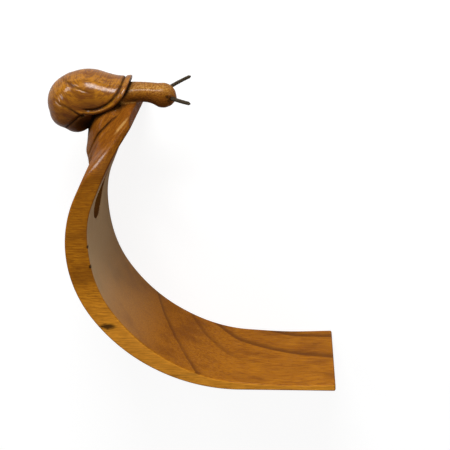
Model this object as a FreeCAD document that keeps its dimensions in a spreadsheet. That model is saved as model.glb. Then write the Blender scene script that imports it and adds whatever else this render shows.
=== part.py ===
import FreeCAD, Part
import math
import os

# Balancing wine bottle holder, carved from one plank with a snail on its top, in millimetres.
# It can't stand without its load, so it lies on its far side face. X runs along the foot,
# Y runs from the foot up to the snail, and Z runs through the width, from the floor up.
# The origin is at the middle of the floor side of the whole object's box.

os.makedirs("parts", exist_ok=True)
doc = FreeCAD.newDocument("BottleHolder")
dims = doc.addObject("Spreadsheet::Sheet", "dims")

DRIVING_DIMENSIONS = [
    # The plank: its width, and the run of its outer face from toe to crown
    ("plank_width", 80.0),
    ("edge_round", 1.0),
    ("foot_flat", 65.7),
    ("toe_skew", 4.5),
    ("heel_radius", 117.5),
    ("heel_turn", 57.1),
    ("back_radius", 89.5),
    ("back_turn", 59.5),
    ("lean_length", 59.8),
    # The plank's thickness, from toe to crown
    ("toe_thick", 5.2),
    ("sole_thick", 4.4),
    ("instep_thick", 6.0),
    ("heel_thick", 11.4),
    ("elbow_thick", 15.2),
    ("back_thick", 16.3),
    ("collar_thick", 12.9),
    ("lean_thick", 12.3),
    ("crown_thick", 14.9),
    ("crown_rise", 7.5),
    # The neck hole, and the two bevels that fall from the snail to the plank's side faces
    ("hole_radius", 17.0),
    ("hole_rise", 21.0),
    ("bevel_start", 17.0),
    ("bevel_lean", 15.0),
    ("bevel_slope", 17.0),
    # The snail's body, from the tail's tip over the crown to the snout
    ("tail_start", 11.5),
    ("tail_run", 33.5),
    ("tail_width", 14.0),
    ("tail_height", 7.6),
    ("foot_width", 35.0),
    ("foot_height", 19.0),
    ("neck_width", 16.4),
    ("neck_height", 12.8),
    ("neck_rise", 12.3),
    ("neck_reach", 24.8),
    ("head_width", 16.0),
    ("head_height", 16.4),
    # The snail's shell
    ("shell_back", 42.3),
    ("shell_up", 6.3),
    ("shell_radius", 18.6),
    ("body_whorl_length", 56.0),
    ("body_whorl_height", 31.4),
    ("second_whorl_girth", 13.0),
    ("third_whorl_girth", 11.4),
    ("lip_radius", 27.5),
    ("lip_band", 2.2),
    ("lip_height", 0.9),
    # The two tentacle pins and their sockets in the head
    ("tentacle_radius", 1.0),
    ("tentacle_tip_radius", 0.85),
    ("tentacle_length", 21.5),
    ("tentacle_seat", 4.0),
    ("tentacle_clearance", 0.05),
    ("tentacle_spread", 40.0),
    ("right_tentacle_rise", -1.7),
    ("left_tentacle_rise", 18.3),
]

for row, (alias, value) in enumerate(DRIVING_DIMENSIONS, start=1):
    dims.set(f"A{row}", alias)
    dims.set(f"B{row}", str(value))
    dims.setAlias(f"B{row}", alias)
doc.recompute()


def size(alias):
    """A driving dimension as the sheet holds it."""
    return float(dims.get(alias))


def direction(angle):
    """A unit vector in the profile plane, by its angle in degrees from +X."""
    return FreeCAD.Vector(math.cos(math.radians(angle)), math.sin(math.radians(angle)), 0)


def bind(thing, **formulas):
    """Bind properties to formulas over the sheet's cells."""
    for name, formula in formulas.items():
        thing.setExpression(name, formula)


# Where the outer face runs: a flat foot, a heel arc, a back arc and a straight lean

X_AXIS = FreeCAD.Vector(1, 0, 0)
Z_AXIS = FreeCAD.Vector(0, 0, 1)
half_plank = size("plank_width") / 2
middle = Z_AXIS * half_plank
heel_centre = FreeCAD.Vector(0, size("heel_radius"), 0)
heel_angle = 270 - size("heel_turn")
elbow = heel_centre + direction(heel_angle) * size("heel_radius")
back_centre = elbow - direction(heel_angle) * size("back_radius")
back_angle = heel_angle - size("back_turn")
outward = direction(back_angle)
collar = back_centre + outward * size("back_radius")
lean_angle = back_angle - 90
lean_way = direction(lean_angle)
crown = collar + lean_way * size("lean_length") - outward * size("crown_thick")
shell_centre = crown + FreeCAD.Vector(-size("shell_back"), size("shell_up"), 0) + middle

SOLE_AT = 0.45
LEAN_AT = 0.6
BROW_TILT = 0.07


def inner_points():
    """Points of the inner face, each set in from the outer face by the thickness there."""
    flat = size("foot_flat")
    points = [
        FreeCAD.Vector(flat, size("toe_thick"), 0),
        FreeCAD.Vector(flat * SOLE_AT, size("sole_thick"), 0),
        FreeCAD.Vector(0, size("instep_thick"), 0),
    ]
    for share, thickness in [(0.5, "heel_thick"), (1.0, "elbow_thick")]:
        spoke = direction(270 - size("heel_turn") * share)
        points.append(heel_centre + spoke * (size("heel_radius") - size(thickness)))
    for share, thickness in [(0.5, "back_thick"), (1.0, "collar_thick")]:
        spoke = direction(heel_angle - size("back_turn") * share)
        points.append(back_centre + spoke * (size("back_radius") - size(thickness)))
    points.append(collar + lean_way * size("lean_length") * LEAN_AT - outward * size("lean_thick"))
    points.append(crown)
    return points


def profile_edges():
    """The plank's side outline, from the toe's lower corner round to the toe again."""
    heel = FreeCAD.Vector(0, 0, 0)
    toe = FreeCAD.Vector(size("foot_flat"), 0, 0)
    toe_top = toe + FreeCAD.Vector(0, size("toe_thick"), 0)
    heel_mid = heel_centre + direction(270 - size("heel_turn") / 2) * size("heel_radius")
    back_mid = back_centre + direction(heel_angle - size("back_turn") / 2) * size("back_radius")
    top = crown.y + size("crown_rise")
    peak = collar + lean_way * ((top - collar.y) / lean_way.y)
    brow = FreeCAD.Vector(crown.x - size("crown_rise") * BROW_TILT, top, 0)
    inner = Part.BSplineCurve()
    inner.interpolate(inner_points())
    return [
        Part.LineSegment(toe, heel),
        Part.Arc(heel, heel_mid, elbow),
        Part.Arc(elbow, back_mid, collar),
        Part.LineSegment(collar, peak),
        Part.LineSegment(peak, brow),
        Part.LineSegment(brow, crown),
        inner,
        Part.LineSegment(toe_top, toe),
    ]


def new_sketch(body, name, role, edges):
    """A sketch of the given edges on one of the body's own origin planes."""
    sketch = body.newObject("Sketcher::SketchObject", name)
    plane = next(f for f in body.Origin.OriginFeatures if f.Role == role)
    sketch.AttachmentSupport = [(plane, "")]
    sketch.MapMode = "FlatFace"
    for edge in edges:
        sketch.addGeometry(edge)
    return sketch


def toe_edges():
    """The wedge, seen from below the foot, that the skewed toe end leaves out."""
    reach = size("foot_flat")
    skew = size("toe_skew")
    corners = [
        FreeCAD.Vector(reach, size("plank_width"), 0),
        FreeCAD.Vector(reach - skew, 0, 0),
        FreeCAD.Vector(reach + skew, 0, 0),
        FreeCAD.Vector(reach + skew, size("plank_width"), 0),
    ]
    return [Part.LineSegment(a, b) for a, b in zip(corners, corners[1:] + corners[:1])]


def side_face_edges(shape):
    """Names of the edges that lie in the plank's two side faces."""
    flat = 0.01
    return [
        f"Edge{index}"
        for index, edge in enumerate(shape.Edges, start=1)
        if edge.BoundBox.ZLength < flat
    ]


def make_plank():
    """The curved plank, padded through its width, with a skewed toe and rounded side edges."""
    body = doc.addObject("PartDesign::Body", "plank")
    pad = body.newObject("PartDesign::Pad", "plank_pad")
    pad.Profile = new_sketch(body, "plank_profile", "XY_Plane", profile_edges())
    bind(pad, Length="dims.plank_width")
    doc.recompute()
    skew = body.newObject("PartDesign::Pocket", "toe_skew_cut")
    skew.Profile = new_sketch(body, "toe_profile", "XZ_Plane", toe_edges())
    skew.Type = "ThroughAll"
    skew.Midplane = True
    doc.recompute()
    if size("toe_skew") > 0 and skew.Shape.Volume >= pad.Shape.Volume:
        raise RuntimeError("the toe's skew cuts nothing")
    rounding = body.newObject("PartDesign::Fillet", "edge_rounding")
    rounding.Base = (skew, side_face_edges(skew.Shape))
    bind(rounding, Radius="dims.edge_round")
    body.Tip = rounding
    doc.recompute()
    return body


def join(kind, name, base, tool):
    """A cut or a common of two shapes."""
    feature = doc.addObject(kind, name)
    feature.Base = base
    feature.Tool = tool
    return feature


def fuse(name, shapes):
    """Several shapes fused into one."""
    feature = doc.addObject("Part::MultiFuse", name)
    feature.Shapes = shapes
    return feature


def make_bevel(name, side):
    """A block whose lower face slopes from the snail down to one side face of the plank."""
    block = doc.addObject("Part::Box", name)
    bind(
        block,
        Length="2 * (dims.lean_length + dims.crown_thick)",
        Width="dims.plank_width",
        Height="dims.plank_width",
    )
    along_ridge = FreeCAD.Rotation(Z_AXIS, lean_angle - size("bevel_lean"))
    rotation = along_ridge.multiply(FreeCAD.Rotation(X_AXIS, side * size("bevel_slope")))
    back_off = rotation.multVec(FreeCAD.Vector(-size("lean_length"), 0, -half_plank))
    ridge = collar + lean_way * size("bevel_start") + middle + Z_AXIS * (side * half_plank)
    block.Placement = FreeCAD.Placement(ridge + back_off, rotation)
    return block


def make_hole_drill():
    """The drill for the neck hole, square to the outer face where it enters."""
    drill = doc.addObject("Part::Cylinder", "neck_hole_drill")
    bind(drill, Radius="dims.hole_radius", Height="4 * dims.collar_thick")
    spoke = direction(180 - size("hole_rise"))
    start = back_centre + spoke * (size("back_radius") + size("collar_thick")) + middle
    drill.Placement = FreeCAD.Placement(start, FreeCAD.Rotation(Z_AXIS, -spoke))
    return drill


RING_POINTS = 12

# The snail's body: share of the spine, then half height and half width as shares of two sizes

BODY_STATIONS = [
    (0.0, "tail_height", 0.16, "tail_width", 0.11),
    (0.065, "tail_height", 0.5, "tail_width", 0.5),
    (0.15, "tail_height", 0.74, "foot_width", 0.34),
    (0.25, "foot_height", 0.41, "foot_width", 0.457),
    (0.374, "foot_height", 0.5, "foot_width", 0.5),
    (0.49, "foot_height", 0.5, "foot_width", 0.443),
    (0.59, "foot_height", 0.45, "foot_width", 0.343),
    (0.675, "neck_height", 0.55, "neck_width", 0.567),
    (0.762, "neck_height", 0.5, "neck_width", 0.5),
    (0.84, "neck_height", 0.54, "neck_width", 0.49),
    (0.905, "head_height", 0.5, "head_width", 0.5),
    (0.958, "head_height", 0.4, "head_width", 0.41),
    (0.992, "head_height", 0.13, "head_width", 0.15),
]


def spine_curve():
    """The line that the snail's body follows, in the middle of the plank's width."""
    tail = collar + lean_way * size("tail_start")
    run = lean_way * size("tail_run")
    lift = outward * size("foot_height")
    reach = size("neck_reach")
    rise = size("neck_rise")
    points = [
        tail + lift * 0.04,
        tail + run * 0.4 + lift * 0.105,
        tail + run + lift * 0.21,
        crown + FreeCAD.Vector(-0.44 * reach, 0.8 * rise, 0),
        crown + FreeCAD.Vector(0.165 * reach, rise, 0),
        crown + FreeCAD.Vector(0.67 * reach, 0.8 * rise, 0),
        crown + FreeCAD.Vector(reach, 0.6 * rise, 0),
    ]
    spine = Part.BSplineCurve()
    spine.interpolate([point + middle for point in points])
    return spine


def body_ring(spine, share, half_height, half_width):
    """One oval section of the body, square to the spine."""
    place = spine.parameterAtDistance(spine.length() * share, spine.FirstParameter)
    centre = spine.value(place)
    up = Z_AXIS.cross(spine.tangent(place)[0])
    points = []
    for step in range(RING_POINTS):
        turn = math.radians(360 / RING_POINTS * step)
        points.append(
            centre + up * (half_height * math.cos(turn)) + Z_AXIS * (half_width * math.sin(turn))
        )
    ring = Part.BSplineCurve()
    ring.interpolate(points, PeriodicFlag=True)
    return Part.Wire(ring.toShape())


def make_snail_body():
    """Tail, foot, neck and head as one loft along the spine."""
    spine = spine_curve()
    rings = [
        body_ring(spine, share, size(height) * tall, size(width) * wide)
        for share, height, tall, width, wide in BODY_STATIONS
    ]
    body = doc.addObject("Part::Feature", "snail_body")
    body.Shape = Part.makeLoft(rings, True, False)
    return body


def on_shell(along, up):
    """A point by its shares of the shell's radius from the shell's centre."""
    return shell_centre + FreeCAD.Vector(along, up, 0) * size("shell_radius")


def make_egg(name, centre, half_length, half_girth, axis, seam=0):
    """An egg-shaped lobe: half an oval turned about its long axis, its seam at a free place."""
    pole = FreeCAD.Vector(half_length, 0, 0)
    oval = Part.Ellipse(pole, FreeCAD.Vector(0, half_girth, 0), FreeCAD.Vector(0, 0, 0))
    half_oval = doc.addObject("Sketcher::SketchObject", f"{name}_outline")
    half_oval.addGeometry(Part.ArcOfEllipse(oval, 0, math.pi))
    half_oval.addGeometry(Part.LineSegment(-pole, pole))
    egg = doc.addObject("Part::Revolution", name)
    egg.Source = half_oval
    egg.Axis = X_AXIS
    egg.Angle = 360
    egg.Solid = True
    turn = FreeCAD.Rotation(axis, seam)
    egg.Placement = FreeCAD.Placement(centre, turn.multiply(FreeCAD.Rotation(X_AXIS, axis)))
    return egg


def make_disc(name, centre, radius, start_angle=0, sweep=360):
    """A disc, or a slice of one, through the plank's whole width."""
    disc = doc.addObject("Part::Cylinder", name)
    bind(disc, Radius=radius, Height="dims.plank_width")
    disc.Angle = sweep
    disc.Placement = FreeCAD.Placement(centre - middle, FreeCAD.Rotation(Z_AXIS, start_angle))
    return disc


def make_shell():
    """The shell: a globe, two small whorls below it, and the body whorl with its raised lip."""
    globe = doc.addObject("Part::Sphere", "shell_globe")
    bind(globe, Radius="dims.shell_radius")
    globe.Placement = FreeCAD.Placement(shell_centre, FreeCAD.Rotation(Z_AXIS, 150))
    second_girth = size("second_whorl_girth")
    third_girth = size("third_whorl_girth")
    second_centre = on_shell(-0.19, -0.3)
    third_centre = on_shell(0.01, -0.505)
    second = make_egg("second_whorl", second_centre, second_girth * 1.25, second_girth, Z_AXIS, 110)
    third = make_egg("third_whorl", third_centre, third_girth * 1.2, third_girth, Z_AXIS, 170)
    length = size("body_whorl_length") / 2
    girth = size("body_whorl_height") / 2
    step = size("lip_height")
    centre = on_shell(0.775, 0.35)
    whorl_egg = make_egg("body_whorl_egg", centre, length, girth, X_AXIS)
    lip_egg = make_egg("lip_egg", centre, length + step, girth + step, X_AXIS)
    lip_centre = on_shell(0.613, 1.21)
    mouth = make_disc("mouth_cut", lip_centre, "dims.lip_radius")
    edge = make_disc("lip_edge", lip_centre, "dims.lip_radius", -125, 130)
    hollow = make_disc("lip_hollow", lip_centre, "dims.lip_radius - dims.lip_band")
    band = join("Part::Cut", "lip_ring", edge, hollow)
    whorl = join("Part::Common", "body_whorl", whorl_egg, mouth)
    lip = join("Part::Common", "shell_lip", lip_egg, band)
    return [globe, second, third, whorl, lip]


def make_tentacle(name, along, up, rise, side):
    """One slim pin glued into the head, and the drill for its socket."""
    way = direction(size(rise)) * math.cos(math.radians(size("tentacle_spread")))
    way += Z_AXIS * (side * math.sin(math.radians(size("tentacle_spread"))))
    root = crown + FreeCAD.Vector(along * size("neck_reach"), up * size("neck_rise"), 0) + middle
    root += Z_AXIS * (side * size("head_width") * 0.31)
    placement = FreeCAD.Placement(root - way * size("tentacle_seat"), FreeCAD.Rotation(Z_AXIS, way))
    pin = doc.addObject("Part::Cone", name)
    bind(
        pin,
        Radius1="dims.tentacle_radius",
        Radius2="dims.tentacle_tip_radius",
        Height="dims.tentacle_length",
    )
    pin.Placement = placement
    socket = doc.addObject("Part::Cylinder", f"{name}_socket")
    bind(
        socket,
        Radius="dims.tentacle_radius + dims.tentacle_clearance",
        Height="2 * dims.tentacle_seat",
    )
    socket.Placement = placement
    return pin, socket


def make_holder():
    """The whole carving, and the two pins that go in its head."""
    cuts = [make_bevel("far_bevel", -1), make_bevel("near_bevel", 1), make_hole_drill()]
    shaped = join("Part::Cut", "shaped_plank", make_plank(), fuse("plank_cuts", cuts))
    carving = fuse("carving", [shaped, make_snail_body()] + make_shell())
    right_pin, right_socket = make_tentacle("right_tentacle", 0.93, 0.756, "right_tentacle_rise", 1)
    left_pin, left_socket = make_tentacle("left_tentacle", 0.835, 1.12, "left_tentacle_rise", -1)
    sockets = fuse("tentacle_sockets", [right_socket, left_socket])
    holder = join("Part::Cut", "carved_holder", carving, sockets)
    doc.recompute()
    return [holder, right_pin, left_pin]


def settle_on_origin(pieces):
    """Move the pieces so that the origin is under the middle of the whole object's box."""
    box = Part.makeCompound([piece.Shape for piece in pieces]).optimalBoundingBox()
    shift = FreeCAD.Vector(-box.Center.x, -box.Center.y, -box.ZMin)
    for piece in pieces:
        piece.Placement = FreeCAD.Placement(shift, FreeCAD.Rotation()).multiply(piece.Placement)
        piece.Label = piece.Name
    doc.recompute()


def check_document(pieces):
    """Stop if any object failed, or if a piece isn't one valid solid."""
    for thing in doc.Objects:
        if "Invalid" in thing.State or "Error" in thing.State:
            raise RuntimeError(f"{thing.Name} is {thing.State}")
    for piece in pieces:
        shape = piece.Shape
        if shape.isNull() or not shape.isValid() or len(shape.Solids) != 1:
            raise RuntimeError(f"{piece.Label} is not one valid solid")


sub_parts = make_holder()
settle_on_origin(sub_parts)
check_document(sub_parts)
for sub_part in sub_parts:
    sub_part.Shape.exportStep(f"parts/{sub_part.Label}.step")
    print(sub_part.Label, round(sub_part.Shape.Volume, 1), sub_part.Shape.optimalBoundingBox())
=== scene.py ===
import math

import bpy
import numpy as np
from mathutils import Matrix, Vector


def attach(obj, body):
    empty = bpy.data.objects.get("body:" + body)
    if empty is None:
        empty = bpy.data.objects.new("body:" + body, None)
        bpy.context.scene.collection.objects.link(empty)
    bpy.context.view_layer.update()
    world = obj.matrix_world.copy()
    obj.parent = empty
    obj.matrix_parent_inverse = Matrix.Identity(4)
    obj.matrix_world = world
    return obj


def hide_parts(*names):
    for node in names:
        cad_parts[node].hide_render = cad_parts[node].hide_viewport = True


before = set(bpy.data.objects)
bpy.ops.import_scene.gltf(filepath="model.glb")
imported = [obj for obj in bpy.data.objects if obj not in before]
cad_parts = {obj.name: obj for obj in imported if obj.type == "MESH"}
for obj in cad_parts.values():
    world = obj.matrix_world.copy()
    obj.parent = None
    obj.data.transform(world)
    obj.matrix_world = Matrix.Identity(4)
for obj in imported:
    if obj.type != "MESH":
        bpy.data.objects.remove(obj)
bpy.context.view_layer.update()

# A wine bottle holder that lies on its side face: a curved plank with a neck hole,
# and a snail carved on its top. Shapes are worked out in millimetres in the plank's own
# frame, whose origin is where the flat foot meets the heel: X towards the toe, Y up from
# the sole, Z across the plank from its far side face.

MM = 0.001
SHIFT_TO_ROW = np.array([29.348, -108.837, 0.0])
PLANK_WIDTH = 80.0
MIDDLE = PLANK_WIDTH / 2


# Curves

LINE_SPACING = 0.8


def heading(angle):
    """A unit vector in the XY plane, by its angle in degrees from +X."""
    return np.array([math.cos(math.radians(angle)), math.sin(math.radians(angle))])


def smooth_through(knots, values, at):
    """Values at some places along a smooth curve through the knots."""
    knots = np.asarray(knots, float)
    values = np.asarray(values, float)
    slopes = np.gradient(values, knots, axis=0)
    span = np.clip(np.searchsorted(knots, at) - 1, 0, len(knots) - 2)
    width = knots[span + 1] - knots[span]
    t = (at - knots[span]) / width
    if values.ndim > 1:
        t = t[:, None]
        width = width[:, None]
    start = (2 * t**3 - 3 * t**2 + 1) * values[span] + (t**3 - 2 * t**2 + t) * slopes[span] * width
    end = (3 * t**2 - 2 * t**3) * values[span + 1] + (t**3 - t**2) * slopes[span + 1] * width
    return start + end


def along_points(points, spacing):
    """Evenly spaced points of a smooth curve through some points, and the share at each."""
    points = np.asarray(points, float)
    steps = np.linalg.norm(np.diff(points, axis=0), axis=1)
    reach = np.concatenate([[0], np.cumsum(steps)])
    count = int(reach[-1] / spacing) + 2
    share = np.linspace(0, 1, count)
    return smooth_through(reach, points, share * reach[-1]), share


def beside(x, y, line):
    """Where places in the side view lie beside a line of points: how far to its right,
    how far along from the nearest point, and which point that is."""
    place = np.column_stack([x.ravel(), y.ravel()])
    ways = np.gradient(line, axis=0)
    ways /= np.linalg.norm(ways, axis=1)[:, None]
    squares = ((place[:, None, :] - line[None, :, :]) ** 2).sum(axis=2)
    nearest = squares.argmin(axis=1)
    offset = place - line[nearest]
    way = ways[nearest]
    along = (offset * way).sum(axis=1)
    right = offset[:, 0] * way[:, 1] - offset[:, 1] * way[:, 0]
    return right.reshape(x.shape), along.reshape(x.shape), nearest.reshape(x.shape)


def line_strength(x, y, points, start_fade, end_fade):
    """Distance to the right of a curve, and a strength that fades at its ends."""
    line, share = along_points(points, LINE_SPACING)
    right, along, nearest = beside(x, y, line)
    past = np.maximum(np.abs(along) - 0.6 * LINE_SPACING, 0)
    place = share[nearest]
    strength = np.clip(place / start_fade, 0, 1) * np.clip((1 - place) / end_fade, 0, 1)
    return right, strength * bell(past, 0.6)


def smooth_min(a, b, blend):
    """The smaller of two values, rounded where they meet."""
    share = np.clip(0.5 + 0.5 * (b - a) / blend, 0, 1)
    return b * (1 - share) + a * share - blend * share * (1 - share)


def smooth_max(a, b, blend):
    return -smooth_min(-a, -b, blend)


def bell(distance, width):
    """1 on a line, falling to 0 beside it."""
    return np.exp(-((distance / width) ** 2))


# The plank's side outline

HEEL_RADIUS = 117.5
HEEL_TURN = 57.1
BACK_RADIUS = 89.5
BACK_TURN = 59.5
FOOT_FLAT = 65.7
TOE_SKEW = 4.5
LEAN = 59.8
CROWN_THICK = 14.9
CROWN_RISE = 7.5
UPPER_AT = 0.6
UPPER_THICK = 12.3
heel_centre = np.array([0.0, HEEL_RADIUS])
heel_angle = 270 - HEEL_TURN
elbow = heel_centre + heading(heel_angle) * HEEL_RADIUS
back_centre = elbow - heading(heel_angle) * BACK_RADIUS
back_angle = heel_angle - BACK_TURN
outward = heading(back_angle)
collar = back_centre + outward * BACK_RADIUS
lean_way = heading(back_angle - 90)
lean_end = collar + lean_way * LEAN
crown = lean_end - outward * CROWN_THICK
top = crown[1] + CROWN_RISE
peak = collar + lean_way * (top - collar[1]) / lean_way[1]
brow = np.array([crown[0] - 0.5, top])
heel_length = math.radians(HEEL_TURN) * HEEL_RADIUS
back_length = math.radians(BACK_TURN) * BACK_RADIUS
elbow_at = FOOT_FLAT + heel_length
collar_at = elbow_at + back_length
end_at = collar_at + LEAN
THICKNESS = [
    (0, 5.2),
    (0.55 * FOOT_FLAT, 4.4),
    (FOOT_FLAT, 6.0),
    (FOOT_FLAT + heel_length / 2, 11.4),
    (elbow_at, 15.2),
    (elbow_at + back_length / 2, 16.3),
    (collar_at, 12.9),
    (collar_at + UPPER_AT * LEAN, UPPER_THICK),
    (end_at, CROWN_THICK),
]

# The two bevels: each plane's direction, and where it starts in the side face

BEVEL_TURN = 15
BEVEL_AT = 17
BEVEL_LEAN = math.radians(back_angle - 90 - BEVEL_TURN)
BEVEL_SLOPE = math.radians(17)
bevel_normal = np.array([-math.sin(BEVEL_LEAN), math.cos(BEVEL_LEAN)]) * math.cos(BEVEL_SLOPE)
bevel_start = collar + lean_way * BEVEL_AT


def outer_face(at):
    """Point and outward direction of the outer face, at a distance from the toe."""
    if at <= FOOT_FLAT:
        return np.array([FOOT_FLAT - at, 0.0]), heading(270)
    if at <= elbow_at:
        spoke = heading(270 - math.degrees((at - FOOT_FLAT) / HEEL_RADIUS))
        return heel_centre + spoke * HEEL_RADIUS, spoke
    if at <= collar_at:
        spoke = heading(heel_angle - math.degrees((at - elbow_at) / BACK_RADIUS))
        return back_centre + spoke * BACK_RADIUS, spoke
    return collar + lean_way * (at - collar_at), outward


def above_bevel(point, z, side):
    """How far a point is above one bevel's plane."""
    rise = (point - bevel_start) @ bevel_normal
    return rise + side * math.sin(BEVEL_SLOPE) * (z - MIDDLE - side * MIDDLE)


# The snail's spine, and its half height, half width and squareness along it

tail = collar + lean_way * 11.5
tail_run = lean_way * 33.5
tail_lift = outward * 19.0
NECK_REACH = 24.8
NECK_RISE = 12.3
SPINE = [
    tail + tail_lift * 0.04,
    tail + tail_run * 0.4 + tail_lift * 0.105,
    tail + tail_run + tail_lift * 0.21,
    crown + np.array([-0.44 * NECK_REACH, 0.8 * NECK_RISE]),
    crown + np.array([0.165 * NECK_REACH, NECK_RISE]),
    crown + np.array([0.67 * NECK_REACH, 0.8 * NECK_RISE]),
    crown + np.array([NECK_REACH, 0.6 * NECK_RISE]),
]
GIRTH = [
    (0.0, 1.0, 1.2, 1.5),
    (0.065, 4.7, 6.6, 1.6),
    (0.15, 6.2, 11.2, 1.5),
    (0.25, 7.8, 15.0, 1.5),
    (0.374, 9.5, 16.5, 1.5),
    (0.49, 9.5, 14.7, 1.6),
    (0.59, 8.55, 11.6, 1.9),
    (0.675, 7.04, 9.3, 2.0),
    (0.762, 6.4, 8.2, 2.0),
    (0.84, 6.9, 8.0, 2.0),
    (0.905, 8.2, 8.0, 2.0),
    (0.958, 6.56, 6.56, 2.0),
    (0.985, 4.2, 4.4, 2.0),
    (1.0, 1.6, 1.8, 2.0),
]
COVER_SINK = 9.0
COVER_LIFT = 0.04
COVER_FALL = 0.3
spine_line, spine_share = along_points(SPINE, LINE_SPACING)
girth_shares, *girths = zip(*GIRTH)
spine_girths = smooth_through(girth_shares, np.column_stack(girths), spine_share)
spine_growth = np.gradient(spine_girths, axis=0) / LINE_SPACING


def spine_facts(x, y):
    """For places in the side view: offset across and along the spine, and the girths there."""
    right, along, nearest = beside(x, y, spine_line)
    reach = np.clip(along, -LINE_SPACING, LINE_SPACING)
    girth = spine_girths[nearest] + spine_growth[nearest] * reach[..., None]
    return [-right, along, girth[..., 0], girth[..., 1], girth[..., 2], spine_share[nearest]]


def body_gap(facts, z):
    """Distance outside the snail's body."""
    up, along, height, width, power, _ = facts
    across = np.abs(z - MIDDLE)
    up = np.abs(up)
    share = np.maximum((up / height) ** power + (across / width) ** power, 1e-3) ** (1 / power)
    steep = np.hypot(up ** (power - 1) / height**power, across ** (power - 1) / width**power)
    gap = (share - 1) / np.maximum(steep * share ** (1 - power), 1e-3)
    past = np.maximum(np.abs(along) - 0.6 * LINE_SPACING, 0)
    return np.where(past > 0, np.hypot(np.maximum(gap, 0), past), gap)


def outer_height(base, way, thick, z, bevelled):
    """Height of the outer face above the inner face, across the plank.

    Under the snail the plank is sunk a little, because the snail's surface covers it."""
    height = np.full(len(z), float(thick))
    if not bevelled:
        return height
    for side in (-1, 1):
        plane = -above_bevel(base, z, side) / (way @ bevel_normal)
        height = smooth_min(height, plane, 0.8)
    place = base + way * height[:, None]
    near_body = body_gap(spine_facts(place[:, 0], place[:, 1]), z)
    return np.maximum(height - 2.0 * np.clip(COVER_SINK - near_body, 0, 1), 0.4)


EDGE_ROUND = 1.1
WORN_ROUND = 5.5
WORN_AT = 31.0
WORN_REACH = 15.0
CORNER_STEPS = 5
SIDE_STEPS = 9
ACROSS_STEPS = 104


def ring_places(height_at, inset, outer_round):
    """Z and height of one cross-section's points, round from the inner face's far edge."""
    low = inset
    high = PLANK_WIDTH - inset
    side_top = height_at(np.array([high]))[0] - inset
    outer_round = min(outer_round, 0.65 * side_top)
    inner_round = min(EDGE_ROUND, 0.3 * side_top)
    turns = np.linspace(0, math.pi / 2, CORNER_STEPS + 2)[1:-1]
    across_in = np.linspace(low + inner_round, high - inner_round, ACROSS_STEPS)
    across_out = np.linspace(high - outer_round, low + outer_round, ACROSS_STEPS)
    out_in = inner_round * (1 - np.sin(turns))
    lift_in = inset + inner_round * (1 - np.cos(turns))
    out_out = outer_round * (1 - np.sin(turns))[::-1]
    drop_out = inset + outer_round * (1 - np.cos(turns))[::-1]
    rise_low = inset + inner_round
    rise = np.linspace(rise_low, max(side_top - outer_round, rise_low + 0.05), SIDE_STEPS)
    places = [
        (across_in, np.full(ACROSS_STEPS, inset)),
        (high - out_in, lift_in),
        (np.full(SIDE_STEPS, high), rise),
        (high - out_out, height_at(high - out_out) - drop_out),
        (across_out, height_at(across_out) - inset),
        (low + out_out[::-1], height_at(low + out_out[::-1]) - drop_out[::-1]),
        (np.full(SIDE_STEPS, low), rise[::-1]),
        (low + out_in[::-1], lift_in[::-1]),
    ]
    z, height = zip(*places)
    return np.concatenate(z), np.concatenate(height)


def plank_rings():
    """All cross-sections of the plank, from toe to crown."""
    coarse = np.arange(0, collar_at, 1.5)
    fine = np.linspace(collar_at, end_at, 86)
    stations = [(0.0, 0.8), (0.25, 0.35), (0.8, 0.0)]
    stations += [(at, 0.0) for at in coarse[1:]] + [(at, 0.0) for at in fine]
    knots, thicknesses = zip(*THICKNESS)
    rings = []
    for at, inset in stations:
        point, out = outer_face(at)
        thick = smooth_through(knots, thicknesses, np.array([at]))[0]
        base = point - out * thick
        bevelled = at > collar_at
        outer_round = EDGE_ROUND + WORN_ROUND * bell(at - collar_at - WORN_AT, WORN_REACH)
        z, height = ring_places(
            lambda z: outer_height(base, out, thick, z, bevelled), inset, outer_round
        )
        xy = base + out * height[:, None]
        rings.append(np.column_stack([xy, z]))
    for share in np.linspace(0, 1, 9)[1:]:
        inner = crown + (brow - crown) * share
        outer = lean_end + (peak - lean_end) * share
        thick = np.linalg.norm(outer - inner)
        way = (outer - inner) / thick
        z, height = ring_places(
            lambda z: outer_height(inner, way, thick, z, True), 0.0, EDGE_ROUND
        )
        ring_share = np.full(len(z), share)
        for side in (-1, 1):
            low = above_bevel(crown, z, side)
            high = above_bevel(brow, z, side)
            ring_share = np.minimum(ring_share, np.where(high > 0, -low / (high - low), 1) - 0.01)
        base = crown + (brow - crown) * ring_share[:, None]
        xy = base + way * height[:, None]
        rings.append(np.column_stack([xy, z]))
    return rings


def skew_toe(points):
    """Slide the flat foot's points so that the toe's end runs at a slant."""
    reach = 1 - TOE_SKEW / FOOT_FLAT * (1 - points[:, 2] / PLANK_WIDTH)
    points[:, 0] = np.where(points[:, 0] > 0, points[:, 0] * reach, points[:, 0])
    return points


# Meshes


def to_row(points):
    return (np.asarray(points, float) + SHIFT_TO_ROW) * MM


def add_piece(name, points, faces, masks=None):
    """A mesh object from millimetre points in the plank's frame, with masks on its points."""
    mesh = bpy.data.meshes.new(name)
    mesh.from_pydata(to_row(points).tolist(), [], faces)
    mesh.update()
    for mask, values in (masks or {}).items():
        layer = mesh.attributes.new(mask, "FLOAT", "POINT")
        layer.data.foreach_set("value", np.asarray(values, np.float32))
    piece = bpy.data.objects.new(name, mesh)
    bpy.context.scene.collection.objects.link(piece)
    return piece


def tube_faces(rings, size):
    """Quads between rings of the same size, and a cap at each end."""
    faces = []
    for ring in range(rings - 1):
        for place in range(size):
            following = (place + 1) % size
            low = ring * size
            high = low + size
            faces.append((low + place, low + following, high + following, high + place))
    faces.append(tuple(reversed(range(size))))
    faces.append(tuple(range((rings - 1) * size, rings * size)))
    return faces


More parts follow.
